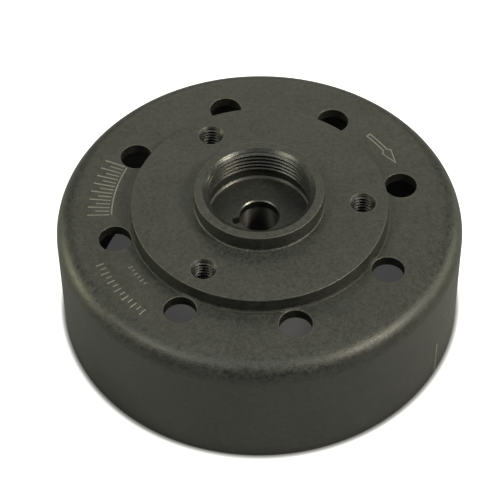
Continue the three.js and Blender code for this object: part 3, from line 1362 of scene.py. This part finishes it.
@dataclass(frozen=True)
class EtchedMarks:
    """Lightly etched marks: rotation arrow, timing line and plain generic patterns."""

    web_top: float
    skirt_radius: float
    line: float = 0.34 * MM
    proud: float = 0.012 * MM
    sunk: float = 0.05 * MM
    arrow_radius: float = 39.25 * MM
    arrow_tail: float = 42.2
    arrow_neck: float = 32.2
    arrow_barb: float = 31.2
    arrow_tip: float = 24.7
    arrow_shaft: float = 0.55 * MM
    arrow_head: float = 1.3 * MM
    timing_angle: float = -30.5
    timing_height: float = 12.0 * MM
    timing_start: float = 0.6 * MM
    timing_line_width: float = 0.7 * MM
    timing_steps: int = 12
    scale_row: TickRow = TickRow(38.3 * MM, 155.0, 180.5, 15, 5.6 * MM, 3.6 * MM, 0.36 * MM, True)
    number_row: TickRow = TickRow(42.4 * MM, -157.0, -132.0, 13, 2.2 * MM, 1.5 * MM, 0.34 * MM)
    date_row: TickRow = TickRow(36.4 * MM, -151.0, -141.0, 6, 1.2 * MM, 0.9 * MM, 0.26 * MM)

    def polar(self, radius: float, degrees: float) -> Point2:
        """A plan point from its radius and angle."""
        angle = math.radians(degrees)
        return radius * math.cos(angle), radius * math.sin(angle)

    def ribbon(self, points: Sequence[Point2], closed: bool, width: float) -> Mesh:
        """A thin flat line on the web along plan points.

        Args:
            points: the line's points.
            closed: whether the last point joins the first.
            width: the line's width.

        Returns:
            A thin closed mesh, its top just proud of the web.
        """
        path = [Vector(p) for p in points]
        count = len(path)
        sides: list[tuple[Vector, Vector]] = []
        for i, here in enumerate(path):
            back = path[i - 1] if closed or i else here
            ahead = path[(i + 1) % count] if closed or i < count - 1 else here
            first = (here - back).normalized() if (here - back).length else (ahead - here).normalized()
            second = (ahead - here).normalized() if (ahead - here).length else first
            tangent = (first + second).normalized()
            normal = Vector((-tangent.y, tangent.x))
            miter = max(0.35, normal.dot(Vector((-first.y, first.x))))
            sides.append((here + normal * width / 2 / miter, here - normal * width / 2 / miter))
        low, high = self.web_top - self.sunk, self.web_top + self.proud
        verts = [(p.x, p.y, z) for pair in sides for p in pair for z in (low, high)]
        faces: list[tuple[int, ...]] = []
        for i in range(count if closed else count - 1):
            a, b = 4 * i, 4 * ((i + 1) % count)
            faces += [(a + 1, a + 3, b + 3, b + 1), (a, b, b + 2, a + 2)]
            faces += [(a, a + 1, b + 1, b), (a + 2, b + 2, b + 3, a + 3)]
        if not closed:
            last = 4 * (count - 1)
            faces += [(0, 2, 3, 1), (last, last + 1, last + 3, last + 2)]
        return clean_mesh("ribbon", np.array(verts), faces)

    def arrow(self) -> Mesh:
        """The outlined arrow that shows the direction of rotation."""
        steps = 8
        outer, inner = [], []
        for k in range(steps + 1):
            degrees = self.arrow_tail + (self.arrow_neck - self.arrow_tail) * k / steps
            outer.append(self.polar(self.arrow_radius + self.arrow_shaft, degrees))
            inner.append(self.polar(self.arrow_radius - self.arrow_shaft, degrees))
        head = [
            self.polar(self.arrow_radius + self.arrow_head, self.arrow_barb),
            self.polar(self.arrow_radius, self.arrow_tip),
            self.polar(self.arrow_radius - self.arrow_head, self.arrow_barb),
        ]
        return self.ribbon([*outer, *head, *reversed(inner)], True, self.line)

    def tick_row(self, row: TickRow) -> Mesh:
        """A row of radial ticks, long and short in turn.

        Args:
            row: the row's place and sizes.

        Returns:
            The ticks as one mesh, with the arc line they stand on where the row has one.
        """
        meshes = []
        for k in range(row.count):
            degrees = row.first + (row.last - row.first) * k / (row.count - 1)
            reach = row.long if k % 2 == 0 else row.short
            ends = [self.polar(row.radius, degrees), self.polar(row.radius + reach, degrees)]
            meshes.append(self.ribbon(ends, False, row.line))
        if row.baseline:
            steps = 24
            arc = [
                self.polar(row.radius - 0.6 * MM, row.first + (row.last - row.first) * k / steps)
                for k in range(steps + 1)
            ]
            meshes.append(self.ribbon(arc, False, row.line))
        return joined_mesh("ticks", meshes)

    def timing_line(self) -> Mesh:
        """The timing mark: a thin upright line on the skirt."""
        low, high = self.skirt_radius - self.sunk, self.skirt_radius + self.proud
        half, steps = self.timing_line_width / 2, self.timing_steps
        section = [(low, -half), (high, -half), (high, half), (low, half)]
        start, rise = self.timing_start, self.timing_height - self.timing_start
        heights = [start + rise * k / steps for k in range(steps + 1)]
        verts = [(r, across, z) for z in heights for r, across in section]
        faces: list[tuple[int, ...]] = [(3, 2, 1, 0)]
        for k in range(steps):
            for i in range(4):
                n = (i + 1) % 4
                faces.append((4 * k + i, 4 * k + n, 4 * k + 4 + n, 4 * k + 4 + i))
        last = 4 * steps
        faces.append((last, last + 1, last + 2, last + 3))
        line = clean_mesh("timing", np.array(verts), faces)
        line.transform(Matrix.Rotation(math.radians(self.timing_angle), 4, "Z"))
        return line

    def build(self, effects: Effects) -> None:
        """Builds and dresses the marks.

        Args:
            effects: the shared shader effects.
        """
        etched = PlainFinish(
            effects, "etched_line", (0.12, 0.12, 0.105), (0.24, 0.235, 0.20),
            metallic=0.2, roughness=(0.5, 0.7), grain_height=0.03 * MM,
        ).material()
        parts: dict[str, Callable[[], Mesh]] = {
            "etched_arrow": self.arrow,
            "etched_scale": lambda: self.tick_row(self.scale_row),
            "etched_outer_row": lambda: self.tick_row(self.number_row),
            "etched_inner_row": lambda: self.tick_row(self.date_row),
            "timing_line": self.timing_line,
        }
        for name, make in parts.items():
            dress(new_object(name, make()), etched, Slot.STEEL)


# ---------------------------------------------------------------- studio


@dataclass(frozen=True)
class Softbox:
    """A square area light aimed at the object."""

    name: str
    place: Point3
    side: float
    power: float
    color: Color = (1.0, 1.0, 1.0)

    def build(self, aim: Vector) -> None:
        """Adds the light, turned towards a point."""
        light = bpy.data.lights.new(self.name, "AREA")
        light.shape = "SQUARE"
        light.size = self.side
        light.energy = self.power
        light.color = self.color
        lamp = bpy.data.objects.new(self.name, light)
        lamp.location = self.place
        lamp.rotation_mode = "QUATERNION"
        lamp.rotation_quaternion = (aim - Vector(self.place)).to_track_quat("-Z", "Y")
        bpy.context.scene.collection.objects.link(lamp)


@dataclass(frozen=True)
class Studio:
    """White table, soft lights and the camera."""

    web_top: float
    elevation: float = 49.5
    distance: float = 0.5352
    roll: float = -0.8
    aim: Point2 = (-2.5 * MM, -12.8 * MM)
    lens: float = 153.4
    sensor: float = 36.0
    floor_half: float = 3.0
    paper_dark: Color = (0.42, 0.42, 0.43)
    paper_light: Color = (0.44, 0.44, 0.45)
    # the table's colour under the cup, darkened as painted shade
    paper_in_painted_shade: Color = (0.15, 0.15, 0.16)
    paper_roughness: float = 0.9
    paper_gloss: float = 0.1
    # the painted shade under the cup fades out between these radii, which makes a painted contact shadow
    # round the rim
    shadow_start: float = 51.5 * MM
    shadow_end: float = 54.2 * MM
    # faint painted light on the table under the cup, which the camera sees through the vents
    painted_light_under_cup: Color = (0.052, 0.052, 0.052)
    room: float = 0.105
    room_color: Color = (0.42, 0.62, 1.0)
    softboxes: tuple[Softbox, ...] = (
        Softbox("overhead", (0.0, 0.00, 1.20), 0.9, 3.2, (0.93, 1.0, 0.90)),
        Softbox("back", (0.0, 1.08, 0.78), 0.9, 3.3, (1.0, 0.95, 0.74)),
        Softbox("right", (0.69, -0.27, 0.83), 0.26, 9.5, (1.0, 0.93, 0.76)),
        Softbox("left", (-0.58, -0.23, 0.89), 0.32, 3.6, (1.0, 0.98, 0.80)),
        Softbox("far_left", (-1.20, 0.30, 0.35), 0.5, 6.4, (1.0, 0.98, 0.68)),
        Softbox("far_right", (1.20, 0.40, 0.40), 0.5, 4.6, (0.95, 1.0, 0.72)),
    )

    def build_camera(self) -> None:
        """Adds the scene's camera."""
        target = Vector((*self.aim, self.web_top))
        rise = math.radians(self.elevation)
        back = Vector((0.0, -math.cos(rise), math.sin(rise)))
        data = bpy.data.cameras.new("camera")
        data.lens = self.lens
        data.sensor_width = self.sensor
        data.clip_start = 0.01
        data.clip_end = 20.0
        camera = bpy.data.objects.new("camera", data)
        camera.location = target + back * self.distance
        camera.rotation_mode = "QUATERNION"
        level = (-back).to_track_quat("-Z", "Y")
        camera.rotation_quaternion = level @ Quaternion((0, 0, 1), math.radians(self.roll))
        bpy.context.scene.collection.objects.link(camera)
        bpy.context.scene.camera = camera

    def build_floor(self, effects: Effects) -> None:
        """Adds the white table, with painted shade under the cup, a painted contact shadow round its rim and
        a faint painted light that the vents show.
        """
        side = self.floor_half
        verts = np.array([(-side, -side, 0), (side, -side, 0), (side, side, 0), (-side, side, 0)])
        table = new_object("table", clean_mesh("table", verts, [(0, 1, 2, 3)]))
        material, w, shader = new_material("white_table")
        grain = w.group(effects.grain, Grain_Size=2 * MM, Cloud_Size=80 * MM)
        paper = w.mix(grain.outputs["Cloud"], rgba(self.paper_dark), rgba(self.paper_light))
        shader.inputs["Roughness"].default_value = self.paper_roughness
        shader.inputs["Specular IOR Level"].default_value = self.paper_gloss
        # mask: 0 under the cup, where the table has painted shade, 1 on the open table
        outside_painted_shade = w.group(effects.clearing, Start=self.shadow_start, End=self.shadow_end).outputs["Mask"]
        w.put(w.mix(outside_painted_shade, rgba(self.paper_in_painted_shade), paper), shader.inputs["Base Color"])
        # camera-only glow: white on the open table, faint painted light under the cup
        glow = w.mix(w.remap(outside_painted_shade, 0.0, 1.0), rgba(self.painted_light_under_cup), rgba((1.0, 1.0, 1.0)))
        w.put(glow, shader.inputs["Emission Color"])
        seen = w.add("ShaderNodeLightPath").outputs["Is Camera Ray"]
        w.put(seen, shader.inputs["Emission Strength"])
        table.data.materials.append(material)

    def build_world(self) -> None:
        """Adds the dim room round the table, white where the camera sees it."""
        world = bpy.data.worlds.new("room")
        bpy.context.scene.world = world
        world.use_nodes = True
        w = Wiring(world.node_tree)
        background = world.node_tree.nodes["Background"]
        seen = w.add("ShaderNodeLightPath").outputs["Is Camera Ray"]
        w.put(w.mix(seen, rgba(self.room_color), rgba((1.0, 1.0, 1.0))), background.inputs["Color"])
        w.put(w.remap(seen, 0.0, 1.0, self.room, 1.0), background.inputs["Strength"])

    def build_lights(self) -> None:
        """Adds the soft lights."""
        aim = Vector((0.0, 0.0, self.web_top))
        for softbox in self.softboxes:
            softbox.build(aim)

    def build(self, effects: Effects) -> None:
        """Builds the whole studio.

        Args:
            effects: the shared shader effects.
        """
        self.build_camera()
        self.build_floor(effects)
        self.build_world()
        self.build_lights()
        bpy.context.scene.view_settings.view_transform = "Standard"
        LOG.info("studio: camera, table, room and lights")


def main() -> None:
    """Builds every sub-assembly and the studio, in order."""
    logging.basicConfig(level=logging.INFO, format="%(name)s: %(message)s")
    effects = Effects()
    tapped = TappedHoles()
    cup = RotorCup(tapped)
    cup.build(effects)
    Hub(tapped, cup.land_top).build(effects)
    MagnetRing().build(effects)
    EtchedMarks(cup.web_top, cup.outer_radius).build(effects)
    Studio(cup.web_top).build(effects)


if __name__ == "__main__":
    main()
